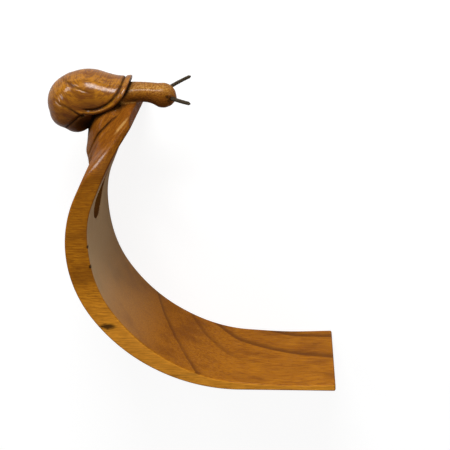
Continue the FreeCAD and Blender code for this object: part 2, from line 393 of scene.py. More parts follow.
def shade_smooth(piece, angle=35):
    for polygon in piece.data.polygons:
        polygon.use_smooth = True
    bpy.context.view_layer.objects.active = piece
    piece.select_set(True)
    bpy.ops.object.shade_auto_smooth(angle=math.radians(angle))
    piece.select_set(False)


def apply_modifiers(piece):
    """Replace the piece's mesh by the mesh its modifiers make."""
    graph = bpy.context.evaluated_depsgraph_get()
    mesh = bpy.data.meshes.new_from_object(piece.evaluated_get(graph))
    piece.modifiers.clear()
    piece.data = mesh


# The neck hole

HOLE_RADIUS = 17.0
HOLE_ANGLE = 159
# How closed in the hole's wall is taken to be, which sets its painted shade
HOLE_SHADE = 0.62
RIM_REACH = 1.8
RIM_SINK = 0.8
DRILL_SIDES = 96
hole_mouth = back_centre + heading(HOLE_ANGLE) * BACK_RADIUS
hole_way = -heading(HOLE_ANGLE)
hole_across = np.array([-hole_way[1], hole_way[0]])


def soften_hole_rim(points):
    """Sink the faces a little beside the hole, so that its rim is rounded over."""
    gap = points[:, :2] - hole_mouth
    along = gap @ hole_way
    side = gap @ hole_across
    radius = np.hypot(side, points[:, 2] - MIDDLE)
    sink = np.clip(1 - (radius - HOLE_RADIUS) / RIM_REACH, 0, 1.3) ** 2 * RIM_SINK
    inner = along > 8
    near_hole = (along > -10) & (along < 30)
    push = np.where(inner, -sink, sink) * near_hole
    points[:, :2] += push[:, None] * hole_way
    return points


def drill_piece():
    """The cutter for the neck hole."""
    turn = np.linspace(0, 2 * math.pi, DRILL_SIDES, endpoint=False)
    rings = []
    for along in np.linspace(-12, 34, 24):
        centre = hole_mouth + hole_way * along
        xy = centre + hole_across * (HOLE_RADIUS * np.cos(turn))[:, None]
        rings.append(np.column_stack([xy, MIDDLE + HOLE_RADIUS * np.sin(turn)]))
    return add_piece("drill", np.concatenate(rings), tube_faces(len(rings), DRILL_SIDES))


def darken_hole_wall(plank):
    """Mark the points of the hole's wall as closed in, so that they get painted shade."""
    points = np.empty(len(plank.data.vertices) * 3)
    plank.data.vertices.foreach_get("co", points)
    points = points.reshape(-1, 3) / MM - SHIFT_TO_ROW
    gap = points[:, :2] - hole_mouth
    side = gap @ hole_across
    on_wall = np.hypot(side, points[:, 2] - MIDDLE) < HOLE_RADIUS + 0.05
    on_wall &= np.abs(gap @ hole_way) < 40
    hollow = plank.data.attributes["hollow"].data
    values = np.empty(len(points))
    hollow.foreach_get("value", values)
    values[on_wall] = HOLE_SHADE
    hollow.foreach_set("value", values)


# The shell, from its centre in the side view

shell_centre = crown + np.array([-42.3, 6.3])
GLOBE = 18.6
SECOND_CENTRE = (-3.6, -5.6)
SECOND_HALF = (14.1, 12.0, 16.0)
SECOND_TURN = math.radians(12)
THIRD_CENTRE = (0.2, -9.4)
THIRD_HALF = (11.4, 11.4, 13.6)
LIP_CENTRE = (11.4, 22.5)
LIP_RADIUS = 27.5
GROOVE_AT = 4.1
CUT_FULL = 0.9

# The body whorl: place along the shell, middle height, half height and half width

WHORL = [
    (-14, 3.5, 3.0, 3.0),
    (-8, 4.0, 11.5, 12.5),
    (0, 4.9, 15.2, 16.0),
    (9, 5.4, 16.2, 17.4),
    (15, 5.2, 15.7, 17.6),
    (22, 4.4, 14.2, 17.0),
    (27.5, 4.0, 13.1, 16.2),
    (32, 4.0, 12.6, 15.8),
    (38, 4.2, 12.6, 15.8),
    (44, 4.2, 12.6, 15.8),
]

# Lines cut in the shell's sides: depth, width, raised edge, fading at both ends, and the line

CUTS = [
    (0.5, 0.6, 0.1, (0.2, 0.6),
     [(-9.5, 17.8), (-3.5, 16.5), (2.5, 14.2), (6.2, 12.9), (9.3, 11.9), (12.8, 10.8),
      (16.3, 9.3), (20, 8.2)]),
    (0.7, 0.8, 0.0, (0.6, 0.02),
     [(-11.4, 7.1), (-9.8, 4.6), (-7.2, 3.0), (-4.3, 2.3), (-1.9, 1.1), (0.7, -0.5),
      (3.1, -2.3), (5.4, -4.2), (7.4, -6.2)]),
    (0.8, 0.85, 0.15, (0.02, 0.1),
     [(8.6, -4.6), (5.4, -5.3), (2.4, -7.5), (-0.7, -10.2), (-4.4, -13.5), (-6.8, -15.7)]),
]

# The recess under the lip where the cuts meet, darkened as painted shade and stain: its middle and
# reach

RECESS = (8.8, -12.5)
RECESS_REACH = (9.5, 8.0)

# The fold along the snail's foot: a raised bead between two lines

FOLD = [
    (-101.5, 153), (-99.6, 158), (-97, 163), (-94.6, 168), (-92.2, 172.3),
    (-88.6, 178.2), (-84.3, 182.8), (-78.8, 188), (-73.5, 192), (-68.5, 194.8),
]


def oval_gap(x, y, z, half):
    """Distance outside an oval, from a place given from its centre."""
    share = np.sqrt((x / half[0]) ** 2 + (y / half[1]) ** 2 + (z / half[2]) ** 2) + 1e-9
    slope = np.sqrt((x / half[0] ** 2) ** 2 + (y / half[1] ** 2) ** 2 + (z / half[2] ** 2) ** 2)
    return share * (share - 1) / (slope + 1e-9)


# Dents by the eyes and at the tentacles' roots: place from the crown and out from the
# middle of the plank's width, and reach

EYES = [
    ((20.2, 10.6, 7.0), 1.25),
    ((20.9, 7.6, 6.6), 0.7),
    ((21.6, 6.2, 5.6), 0.7),
    ((22.3, 9.3, 6.0), 1.8),
]


def whorl_gap(dx, dy, w):
    """Distance outside the body whorl, and how far inside the edge of its mouth."""
    places, *girths = zip(*WHORL)
    girth = smooth_through(places, np.column_stack(girths), np.clip(dx, places[0], places[-1]).ravel())
    middle, height, width = (girth[:, i].reshape(dx.shape) for i in range(3))
    up = dy - middle
    share = np.sqrt((up / height) ** 2 + (w / width) ** 2) + 1e-9
    steep = np.sqrt((up / height**2) ** 2 + (w / width**2) ** 2) + 1e-9
    gap = share * (share - 1) / steep
    gap = np.hypot(np.maximum(gap, 0), np.maximum(places[0] - dx, 0)) + np.minimum(gap, 0)
    inside_edge = LIP_RADIUS - np.hypot(dx - LIP_CENTRE[0], dy - LIP_CENTRE[1])
    return gap, inside_edge


def shell_gap(x, y, z, cuts):
    """Distance outside the shell, and how deep in a cut the place is."""
    dx = x - shell_centre[0]
    dy = y - shell_centre[1]
    w = z - MIDDLE
    globe = oval_gap(dx, dy, w, (GLOBE, GLOBE, GLOBE - 0.5))
    sx = dx - SECOND_CENTRE[0]
    sy = dy - SECOND_CENTRE[1]
    along = sx * math.cos(SECOND_TURN) + sy * math.sin(SECOND_TURN)
    up = sy * math.cos(SECOND_TURN) - sx * math.sin(SECOND_TURN)
    second = oval_gap(along, up, w, SECOND_HALF)
    third = oval_gap(dx - THIRD_CENTRE[0], dy - THIRD_CENTRE[1], w, THIRD_HALF)
    whorl, inside_edge = whorl_gap(dx, dy, w)
    lower_right = np.clip((dx - LIP_CENTRE[0] + 20 - 0.4 * (dy - LIP_CENTRE[1])) / 8, 0, 1)
    flare = 0.7 * np.exp(-np.clip(inside_edge, 0, 99) / 5)
    bead = 1.3 * bell(inside_edge - 1.7, 1.5)
    groove = 0.95 * bell(inside_edge - GROOVE_AT, 0.75)
    low_on_side = np.clip((16.5 - dy) / 9, 0.12, 1)
    whorl = whorl - (flare + bead) * lower_right * low_on_side + groove * lower_right
    whorl = smooth_max(whorl, -inside_edge, 0.9)
    shell = smooth_min(globe, whorl, 2.5)
    shell = smooth_min(shell, second, 0.9)
    shell = smooth_min(shell, third, 0.9)
    carved = 0.9 * bell(inside_edge - GROOVE_AT, 1.0) * lower_right * (np.abs(whorl - shell) < 0.6)
    for (depth, width, raised, _, _), (right, strength) in zip(CUTS, cuts):
        deep = depth * bell(right, width) * strength
        edge = raised * bell(right - 2.2 * width, width) * strength
        shell = shell + deep - edge
        carved = np.maximum(carved, deep / CUT_FULL)
    # The recess is darkened as painted shade and stain
    recess = bell(dx - RECESS[0], RECESS_REACH[0]) * bell(dy - RECESS[1], RECESS_REACH[1])
    return shell, np.maximum(carved, recess * (inside_edge < -0.5))


def plank_gap(x, y, z):
    """Distance outside the plank's upper end, as flat faces."""
    place = np.stack(np.broadcast_arrays(x, y), axis=-1)
    gap = (place - collar) @ outward
    for side in (-1, 1):
        gap = smooth_max(gap, above_bevel(place, z, side), 0.8)
    inner_way = crown - (collar + lean_way * UPPER_AT * LEAN - outward * UPPER_THICK)
    inner_way /= np.linalg.norm(inner_way)
    inner = (place - crown) @ np.array([inner_way[1], -inner_way[0]]) + 1.2
    end_face = crown[0] - (crown[0] - brow[0]) * (place[..., 1] - crown[1]) / CROWN_RISE
    inner = np.maximum(inner, place[..., 0] - end_face + 0.8)
    ends = np.maximum(np.abs(z - MIDDLE) - MIDDLE + 1.5, place[..., 1] - top + 0.6)
    return np.maximum(np.maximum(gap, inner), np.maximum(ends, collar[1] + 4 - place[..., 1]))


def carving_gap(x, y, z, side, covered):
    """Distance outside the snail and the plank under it, and the masks of the surface there.

    Where covered is set, the plank's part sinks away from the snail, so that the surface
    ends under the plank's own."""
    facts, cuts, fold = side
    body = body_gap(facts, z)
    shell, shell_cuts = shell_gap(x, y, z, cuts)
    plank = plank_gap(x, y, z)
    if covered:
        plank = plank - COVER_LIFT + COVER_FALL * np.maximum(body - COVER_SINK - 0.4, 0)
    right, strength = fold
    strength = strength * np.clip((np.abs(z - MIDDLE) - 5) / 4, 0, 1)
    strength = strength * np.clip((8 - body) / 2, 0, 1)
    merging = np.clip((0.62 - facts[5]) / 0.12, 0, 1) * np.clip(facts[5] / 0.16, 0.2, 1)
    foot = smooth_min(body, plank, 4 + 7 * merging)
    line = bell(right, 0.5)
    foot = foot + (0.45 * line - 0.4 * bell(right - 1.4, 0.9)) * strength
    dent = 0.0
    for (along, up, out), reach in EYES:
        dx, dy, dz = x - crown[0] - along, y - crown[1] - up, np.abs(z - MIDDLE) - out
        gap = np.sqrt(dx**2 + dy**2 + dz**2)
        dent = np.maximum(dent, bell(gap, reach))
    foot = foot + 0.35 * dent
    near_shell = np.clip(0.5 + (foot - shell) / 0.6, 0, 1)
    neck = np.clip((facts[5] - 0.5) / 0.12, 0, 1) * (1 - near_shell) * (body < plank + 1)
    stained = np.maximum(0.4 * line * strength, dent)
    carved = np.clip(np.where(near_shell > 0.5, shell_cuts, stained), 0, 1)
    return smooth_min(foot, shell, 0.35), {"shell": near_shell, "skin": neck, "carved": carved}


def side_view(x, y):
    """Everything that depends only on the side view."""
    dx = x - shell_centre[0]
    dy = y - shell_centre[1]
    cuts = [line_strength(dx, dy, line, *fades) for _, _, _, fades, line in CUTS]
    return spine_facts(x, y), cuts, line_strength(x, y, FOLD, 0.12, 0.15)


def gap_at(points, covered=True):
    x, y, z = points.T
    return carving_gap(x, y, z, side_view(x, y), covered)


def gap_slope(points, covered=True, step=0.15):
    """Direction in which the distance from the carving grows fastest."""
    slope = np.zeros_like(points)
    for axis in range(3):
        offset = np.zeros(3)
        offset[axis] = step
        ahead = gap_at(points + offset, covered)[0]
        slope[:, axis] = (ahead - gap_at(points - offset, covered)[0]) / (2 * step)
    return slope


def hollow_at(points, normal):
    """How much of the space just outside the surface is closed in, which the material darkens as
    painted shade.
    """
    hollow = np.zeros(len(points))
    for reach in (1.5, 4.0, 8.0):
        gap = gap_at(points + normal * reach, covered=False)[0]
        hollow += np.clip(1 - gap / reach, 0, 1) / 3
    return hollow


NET_SPACING = 0.55
NET_LOW = np.array([-126.5, 147.5, 8.0])
NET_HIGH = np.array([-35.0, 220.5, 72.0])
NET_SLAB = 24


def surface_net(values, corner, spacing):
    """Quads over the surface where the values change sign."""
    inside = values < 0
    cells = tuple(size - 1 for size in values.shape)
    offsets = [(i, j, k) for i in (0, 1) for j in (0, 1) for k in (0, 1)]

    def at_corner(grid, offset):
        return grid[tuple(slice(o, o + n) for o, n in zip(offset, cells))]

    count = sum(at_corner(inside, offset).astype(int) for offset in offsets)
    active = (count > 0) & (count < 8)
    number = np.full(cells, -1)
    number[active] = np.arange(active.sum())
    total = np.zeros((active.sum(), 3))
    crossings = np.zeros(active.sum())
    for start in offsets:
        for axis in range(3):
            if start[axis]:
                continue
            end = tuple(o + (a == axis) for a, o in enumerate(start))
            low = at_corner(values, start)[active]
            high = at_corner(values, end)[active]
            crosses = (low < 0) != (high < 0)
            share = np.where(crosses, low / np.where(crosses, low - high, 1), 0)
            place = np.array(start, float)[None, :].repeat(len(low), axis=0)
            place[:, axis] += share
            total += place * crosses[:, None]
            crossings += crosses
    points = corner + spacing * (np.argwhere(active) + total / crossings[:, None])
    quads = []
    for axis in range(3):
        u, v = [a for a in range(3) if a != axis]
        step = [slice(1, -1)] * 3
        step[axis] = slice(0, -1)
        ahead = list(step)
        ahead[axis] = slice(1, None)
        low = inside[tuple(step)]
        high = inside[tuple(ahead)]
        start = np.array([1, 1, 1])
        start[axis] = 0
        edges = np.argwhere(low != high) + start
        corners = []
        for du, dv in ((0, 0), (1, 0), (1, 1), (0, 1)):
            cell = edges.copy()
            cell[:, u] -= du
            cell[:, v] -= dv
            corners.append(number[cell[:, 0], cell[:, 1], cell[:, 2]])
        quad = np.stack(corners, axis=1)
        solid_first = low[low != high]
        flip = solid_first if axis != 1 else ~solid_first
        quad[flip] = quad[flip][:, ::-1]
        quads.append(quad)
    return points, np.concatenate(quads)


def unit_rows(rows):
    return rows / np.maximum(np.linalg.norm(rows, axis=1), 0.1)[:, None]


def snail_piece():
    """The snail as one surface, with masks for its cuts, hollows and skin.

    The surface is open at the net's borders, and it isn't cut by the neck hole."""
    axes = [np.arange(a, b, NET_SPACING) for a, b in zip(NET_LOW, NET_HIGH)]
    x, y = np.meshgrid(axes[0], axes[1], indexing="ij")
    facts, cuts, fold = side_view(x, y)
    deep = [fact[:, :, None] for fact in facts]
    deep_cuts = [tuple(part[:, :, None] for part in cut) for cut in cuts]
    deep_fold = tuple(part[:, :, None] for part in fold)
    z = axes[2][None, None, :]
    x, y, z = np.broadcast_arrays(x[:, :, None], y[:, :, None], z)
    values = np.empty(x.shape)
    for start in range(0, len(axes[0]), NET_SLAB):
        part = slice(start, start + NET_SLAB)
        cuts_part = [tuple(c[part] for c in cut) for cut in deep_cuts]
        side_part = ([f[part] for f in deep], cuts_part, tuple(f[part] for f in deep_fold))
        values[part] = carving_gap(x[part], y[part], z[part], side_part, True)[0]
    points, quads = surface_net(values, NET_LOW, NET_SPACING)
    for _ in range(2):
        slope = gap_slope(points)
        size = np.maximum((slope**2).sum(axis=1), 0.25)
        points = points - np.clip(slope * (gap_at(points)[0] / size)[:, None], -0.3, 0.3)
    masks = gap_at(points)[1]
    masks["hollow"] = hollow_at(points, unit_rows(gap_slope(points)))
    return add_piece("snail", points, quads.tolist(), masks)


def plank_piece():
    """The plank with its hole, and a mask for where the snail shades it."""
    rings = plank_rings()
    size = len(rings[0])
    points = skew_toe(np.concatenate(rings))
    points = soften_hole_rim(points)
    nearby = points[:, 1] > collar[1] + 5
    slope = unit_rows(gap_slope(points[nearby], covered=False))
    lifted = points[nearby] - slope * gap_at(points[nearby], covered=False)[0][:, None]
    masks = {name: np.zeros(len(points)) for name in ("shell", "skin", "carved", "hollow")}
    masks["hollow"][nearby] = hollow_at(lifted, slope)
    plank = add_piece("plank", points, tube_faces(len(rings), size), masks)
    drill = drill_piece()
    cut = plank.modifiers.new("hole", "BOOLEAN")
    cut.object = drill
    cut.operation = "DIFFERENCE"
    cut.solver = "EXACT"
    apply_modifiers(plank)
    bpy.data.objects.remove(drill)
    darken_hole_wall(plank)
    return plank


# The tentacles

TENTACLE_LENGTH = 21.5
TENTACLE_SEAT = 4.0
TENTACLE_SPREAD = 40
TENTACLE_RADIUS = 1.25
TENTACLE_TAPER = 0.18
TENTACLE_POINT = 1.6
TENTACLE_BEND = 0.35
TENTACLE_SIDES = 20
TENTACLE_RINGS = 40
HEAD_WIDTH = 16.0


def tentacle_piece(name, along, up, rise, side, seed):
    """One whittled pin: tapered, slightly uneven, with a blunt point."""
    spread = math.radians(TENTACLE_SPREAD)
    way = np.append(heading(rise) * math.cos(spread), side * math.sin(spread))
    root = np.append(crown + np.array([along * NECK_REACH, up * NECK_RISE]), MIDDLE)
    root[2] += side * HEAD_WIDTH * 0.31
    start = root - way * TENTACLE_SEAT
    across = np.cross(way, [0, 0, 1])
    across /= np.linalg.norm(across)
    third = np.cross(way, across)
    chance = np.random.default_rng(seed)
    turn = np.linspace(0, 2 * math.pi, TENTACLE_SIDES, endpoint=False)
    facets = 1 + 0.05 * chance.standard_normal(TENTACLE_SIDES)
    rings = []
    for share in np.linspace(0, 1, TENTACLE_RINGS):
        radius = TENTACLE_RADIUS - TENTACLE_TAPER * share
        radius *= min(1, math.sqrt(max((1 - share) * TENTACLE_LENGTH / TENTACLE_POINT, 0.02)))
        radius *= 1 + 0.04 * chance.standard_normal()
        bend = TENTACLE_BEND * math.sin(math.pi * share)
        centre = start + way * TENTACLE_LENGTH * share + across * bend * side
        spoke = np.cos(turn)[:, None] * across + np.sin(turn)[:, None] * third
        rings.append(centre + spoke * (radius * facets)[:, None])
    piece = add_piece(name, np.concatenate(rings), tube_faces(len(rings), TENTACLE_SIDES))
    shade_smooth(piece, 50)
    return piece


# Shader nodes


def put(tree, kind, inputs=None, **settings):
    """A node with its settings, and its inputs linked or set."""
    made = tree.nodes.new(kind)
    for name, value in settings.items():
        setattr(made, name, value)
    for key, value in (inputs or {}).items():
        if isinstance(value, bpy.types.NodeSocket):
            tree.links.new(value, made.inputs[key])
        else:
            made.inputs[key].default_value = value
    return made


def calc(tree, operation, a, b=0.0):
    return put(tree, "ShaderNodeMath", {0: a, 1: b}, operation=operation).outputs[0]


def times(tree, a, b):
    return calc(tree, "MULTIPLY", a, b)


def rest_of(tree, share):
    """What is left of 1."""
    return calc(tree, "SUBTRACT", 1.0, share)


def sway(tree, value, pattern, reach):
    """A value moved up and down by a pattern around a half."""
    return calc(tree, "ADD", value, times(tree, calc(tree, "SUBTRACT", pattern, 0.5), reach))


def vector_calc(tree, operation, a, b=(0, 0, 0)):
    """A vector, or the plain value of a dot product or a length."""
    made = put(tree, "ShaderNodeVectorMath", {0: a, 1: b}, operation=operation)
    return made.outputs["Value" if operation in ("DOT_PRODUCT", "LENGTH") else "Vector"]


def band(tree, value, low, high):
    """A smooth step from 0 to 1 between two values."""
    inputs = {"Value": value, "From Min": low, "From Max": high}
    made = put(tree, "ShaderNodeMapRange", inputs, interpolation_type="SMOOTHSTEP")
    return made.outputs["Result"]


def noise(tree, place, stretch, detail, roughness=0.5, distortion=0.0):
    """Noise at a place that is stretched along each axis, in millimetres."""
    scale = tuple(1000 * s for s in stretch)
    inputs = {"Vector": vector_calc(tree, "MULTIPLY", place, scale), "Scale": 1.0}
    inputs.update({"Detail": detail, "Roughness": roughness, "Distortion": distortion})
    return put(tree, "ShaderNodeTexNoise", inputs).outputs["Fac"]


def blend(tree, share, a, b):
    return put(tree, "ShaderNodeMix", {0: share, 6: a, 7: b}, data_type="RGBA").outputs[2]


def tint(tree, colour, share, most, other):
    """A colour with up to some share of another laid over it."""
    return blend(tree, times(tree, share, most), colour, other)


def mask(tree, name):
    return put(tree, "ShaderNodeAttribute", attribute_name=name).outputs["Fac"]


def new_group(name, inputs, outputs):
    tree = bpy.data.node_groups.new(name, "ShaderNodeTree")
    for socket, kind in inputs:
        tree.interface.new_socket(socket, in_out="INPUT", socket_type=kind)
    for socket in outputs:
        tree.interface.new_socket(socket, in_out="OUTPUT", socket_type="NodeSocketFloat")
    return tree


# The growth layers, in millimetres: how the level of a place is found (from metres), the first
# year, the spacing of the years, and the level where they are faint

LEVEL_WAY = (-86, 1000, 345)
LEVEL_OFFSET = 111.4
YEAR_START = 4.5
YEAR_SPACING = 9.6
FAINT_YEAR = 31.0


def growth_group():
    """Growth layers and fibres of the block that everything is carved from.

    The layers lie nearly level and tip towards one side; the fibres run along X.
    Late is the slow darkening within a year, Line the dark edge of a year, Fibre the fine
    streaks, Pore the short dark pores, and Cloud the broad light and dark patches."""
    outputs = ["Late", "Line", "Fibre", "Pore", "Cloud"]
    tree = new_group("growth", [("Place", "NodeSocketVector")], outputs)
    place = put(tree, "NodeGroupInput").outputs["Place"]
    level = vector_calc(tree, "DOT_PRODUCT", place, LEVEL_WAY)
    level = calc(tree, "ADD", level, LEVEL_OFFSET)
    waver = noise(tree, place, (0.012, 0.022, 0.03), 2.0)
    ripple = noise(tree, place, (0.04, 0.12, 0.15), 2.0)
    height = sway(tree, calc(tree, "SUBTRACT", level, YEAR_START), waver, 2.4)
    height = sway(tree, height, ripple, 1.3)
    years = calc(tree, "DIVIDE", height, YEAR_SPACING)
    share = calc(tree, "FRACT", years)
    faintest = calc(tree, "ABSOLUTE", calc(tree, "SUBTRACT", level, FAINT_YEAR))
    strength = calc(tree, "ADD", 0.08, times(tree, band(tree, faintest, 3.0, 12.0), 0.92))
    strength = times(tree, strength, rest_of(tree, band(tree, level, 45.5, 51.0)))
    along = put(tree, "ShaderNodeSeparateXYZ", {0: place}).outputs["X"]
    fading = times(tree, band(tree, along, -0.005, 0.045), band(tree, level, 16.0, 21.0))
    strength = times(tree, strength, rest_of(tree, times(tree, fading, 0.8)))
    patch = noise(tree, place, (0.02, 0.05, 0.05), 2.0)
    strength = times(tree, strength, band(tree, patch, 0.1, 0.42))
    after = rest_of(tree, band(tree, share, 0.94, 1.0))
    late = times(tree, calc(tree, "POWER", share, 3.0), after)
    edge = times(tree, band(tree, share, 0.66, 0.93), after)
    fibre = noise(tree, place, (0.09, 1.3, 1.3), 4.0, 0.62, 0.3)
    pores = noise(tree, place, (0.22, 1.9, 1.9), 2.0, 0.5, 0.5)
    cloud = noise(tree, place, (0.03, 0.06, 0.06), 3.0)
    values = {
        "Late": times(tree, late, strength),
        "Line": times(tree, edge, strength),
        "Fibre": fibre,
        "Pore": band(tree, pores, 0.53, 0.68),
        "Cloud": cloud,
    }
    put(tree, "NodeGroupOutput", values)
    return tree


def new_material(name):
    material = bpy.data.materials.new(name)
    material.use_nodes = True
    tree = material.node_tree
    tree.nodes.clear()
    return material, tree


BARE_SHINE = 0.02


def finish_material(tree, colour, normal, roughness, coat=0.0, coat_roughness=0.1):
    """The varnished surface itself."""
    inputs = {"Base Color": colour, "Roughness": roughness, "Normal": normal}
    inputs.update({"Coat Weight": coat, "Coat Roughness": coat_roughness})
    inputs["Specular IOR Level"] = BARE_SHINE
    shader = put(tree, "ShaderNodeBsdfPrincipled", inputs)
    put(tree, "ShaderNodeOutputMaterial", {"Surface": shader.outputs["BSDF"]})


HONEY = (0.66, 0.255, 0.011, 1)
AMBER = (0.40, 0.132, 0.005, 1)
CHESTNUT = (0.14, 0.038, 0.004, 1)
UMBER = (0.012, 0.006, 0.003, 1)
GOLD = (0.345, 0.132, 0.003, 1)
COPPER = (0.18, 0.060, 0.002, 1)
GREY_SHEEN = (0.38, 0.26, 0.14, 1)
LIT_PALE = (0.82, 0.34, 0.04, 1)
KHAKI_HIGHLIGHT = (0.62, 0.37, 0.12, 1)
PIN_DARK = (0.03, 0.022, 0.013, 1)
PIN_LIGHT = (0.075, 0.056, 0.035, 1)

# The knot in the near side face and two chips in its inner edge, and their reach along each axis

KNOT = (-88.4, 48.2, 80.0)
KNOT_REACH = (7.5, 2.7, 6.0)
CHIPS = [(-97.2, 107.2, 80.0), (-96.8, 92.9, 80.0)]
CHIP_REACH = (1.3, 1.6, 3.0)

# The place on the near ridge that handling has polished, the stretch of the end face's edge
# that gets a painted highlight, and their reach along each axis

WORN_PLACE = (-88.0, 168.8, 79.0)
WORN_SIZE = (11.5, 12.5, 6.5)
EDGE_HIGHLIGHT = (-69.7, 189.8, 74.5)
EDGE_HIGHLIGHT_SIZE = (8.5, 1.1, 5.0)


def spot_mask(tree, place, middle, reach, ragged, turn=0.0):
    """1 in a spot's heart, 0 outside it; its reach is turned in the side view."""
    centre = tuple((np.array(middle) + SHIFT_TO_ROW) * MM)
    shrink = tuple(1000 / size for size in reach)
    offset = vector_calc(tree, "SUBTRACT", place, centre)
    if turn:
        inputs = {"Vector": offset, "Angle": -turn}
        offset = put(tree, "ShaderNodeVectorRotate", inputs, rotation_type="Z_AXIS").outputs[0]
    scaled = vector_calc(tree, "MULTIPLY", offset, shrink)
    away = vector_calc(tree, "LENGTH", scaled)
    away = sway(tree, away, ragged, 0.9)
    return rest_of(tree, band(tree, away, 0.35, 1.1))


def carved_wood_material(growth):
    """Stained and varnished wood of the whole carving.

    The plank shows years, fibres and pores; the shell is smoother and mottled; the skin of
    the neck and head is pebbled. The upper part has gouge marks, the near ridge has a worn
    place and a painted highlight, and the inner face has a painted grey sheen. Faces are
    darkened or lightened by the way they face, as painted light and shade. Cuts hold more
    stain, with some painted shade; hollows get painted shade; both have less varnish. The
    end face is darker, as end grain and as painted shade."""
    material, tree = new_material("varnished_wood")
    place = put(tree, "ShaderNodeTexCoord").outputs["Object"]
    wood = put(tree, "ShaderNodeGroup", {"Place": place}, node_tree=growth)
    shell = mask(tree, "shell")
    skin = mask(tree, "skin")
    sculpted = calc(tree, "MAXIMUM", shell, skin)
    mottle = noise(tree, place, (0.14, 0.2, 0.2), 4.0, 0.6, 0.8)
    speck = noise(tree, place, (0.8, 1.0, 1.0), 3.0, 0.6)
    ragged = noise(tree, place, (0.35, 0.9, 0.9), 3.0)

    streaky = band(tree, wood.outputs["Fibre"], 0.36, 0.64)
    colour = blend(tree, streaky, AMBER, HONEY)
    colour = tint(tree, colour, band(tree, wood.outputs["Cloud"], 0.52, 0.3), 0.5, CHESTNUT)
    colour = tint(tree, colour, wood.outputs["Late"], 0.35, CHESTNUT)
    colour = tint(tree, colour, wood.outputs["Pore"], 0.5, CHESTNUT)
    colour = tint(tree, colour, wood.outputs["Line"], 0.62, UMBER)
    at = put(tree, "ShaderNodeSeparateXYZ", {0: place}).outputs
    rise = at["Y"]
    colour = tint(tree, colour, band(tree, rise, -0.065, 0.01), 0.45, CHESTNUT)
    colour = tint(tree, colour, band(tree, rise, 0.0, 0.06), 0.35, CHESTNUT)

    leaning = vector_calc(tree, "DOT_PRODUCT", place, (*lean_way, 0))
    across = vector_calc(tree, "DOT_PRODUCT", place, (*outward, 0))
    gouged = {"X": leaning, "Y": across, "Z": at["Z"]}
    gouged = put(tree, "ShaderNodeCombineXYZ", gouged).outputs[0]
    gouged = noise(tree, gouged, (0.1, 0.8, 0.8), 4.0, 0.62, 0.7)
    gouges = times(tree, band(tree, gouged, 0.56, 0.44), band(tree, rise, 0.045, 0.065))
    colour = tint(tree, colour, gouges, 0.62, CHESTNUT)

    middle = tuple((np.append(shell_centre + LIP_CENTRE, MIDDLE) + SHIFT_TO_ROW) * MM)
    from_lip = vector_calc(tree, "SUBTRACT", place, middle)
    from_lip = vector_calc(tree, "MULTIPLY", from_lip, (1, 1, 0.35))
    away = vector_calc(tree, "LENGTH", from_lip)
    arcs = put(tree, "ShaderNodeCombineXYZ", {"X": away, "Y": times(tree, rise, 0.3)}).outputs[0]
    streaks = noise(tree, arcs, (0.75, 0.75, 0.75), 4.0, 0.65, 1.4)
    mottle = calc(tree, "ADD", times(tree, mottle, 0.48), times(tree, streaks, 0.52))
    turned = blend(tree, band(tree, mottle, 0.44, 0.57), COPPER, GOLD)
    turned = tint(tree, turned, band(tree, mottle, 0.48, 0.38), 0.7, CHESTNUT)
    turned = tint(tree, turned, band(tree, wood.outputs["Fibre"], 0.55, 0.3), 0.35, CHESTNUT)
    colour = blend(tree, calc(tree, "MAXIMUM", shell, times(tree, skin, 0.7)), colour, turned)
    dull = blend(tree, band(tree, speck, 0.3, 0.7), CHESTNUT, GOLD)
    colour = tint(tree, colour, skin, 0.6, dull)

    facing = put(tree, "ShaderNodeNewGeometry").outputs["Normal"]
    facing = put(tree, "ShaderNodeSeparateXYZ", {0: facing}).outputs
    # Painted highlight: a speckled lighter tone on the upward-facing skin
    top_highlight = times(tree, band(tree, facing["Y"], 0.1, 0.8), skin)
    top_highlight = times(tree, top_highlight, band(tree, speck, 0.3, 0.75))
    colour = tint(tree, colour, top_highlight, 0.42, KHAKI_HIGHLIGHT)
    # Painted shade: carved parts darker where they face down, and where they turn away from the front
    shade_below = times(tree, band(tree, facing["Y"], 0.75, -0.3), sculpted)
    colour = tint(tree, colour, shade_below, 0.7, CHESTNUT)
    shaded_sides = times(tree, band(tree, facing["Z"], 0.6, 0.1), sculpted)
    colour = tint(tree, colour, shaded_sides, 0.35, CHESTNUT)
    plain = rest_of(tree, sculpted)
    # Painted light: lower near faces, turned to the front, are lightened towards a pale tone
    near = times(tree, band(tree, facing["Z"], 0.8, 0.95), plain)
    near = times(tree, near, band(tree, rise, -0.02, -0.075))
    near = times(tree, near, calc(tree, "ADD", 0.38, times(tree, streaky, 0.28)))
    colour = blend(tree, near, colour, LIT_PALE)
    # Painted shade: plain faces turned upwards or towards +X are darkened
    upper = times(tree, band(tree, facing["Y"], 0.3, 0.95), plain)
    colour = tint(tree, colour, upper, 0.5, CHESTNUT)
    sloping = times(tree, band(tree, facing["X"], 0.1, 0.6), plain)
    colour = tint(tree, colour, sloping, 0.35, CHESTNUT)
    # Painted shade darkens the inner faces, and a painted grey sheen lies on them, stronger higher up
    inner = times(tree, band(tree, facing["X"], 0.55, 0.95), plain)
    high_up = calc(tree, "ADD", 0.42, times(tree, band(tree, rise, -0.06, -0.01), 0.43))
    butt = band(tree, rise, 0.035, 0.055)
    inner = times(tree, inner, rest_of(tree, butt))
    colour = tint(tree, colour, inner, 0.3, CHESTNUT)
    colour = blend(tree, times(tree, inner, high_up), colour, GREY_SHEEN)
    # Painted shade: plain faces turned towards -X are darkened
    outer = times(tree, band(tree, facing["X"], -0.5, -0.95), plain)
    colour = tint(tree, colour, outer, 0.35, CHESTNUT)
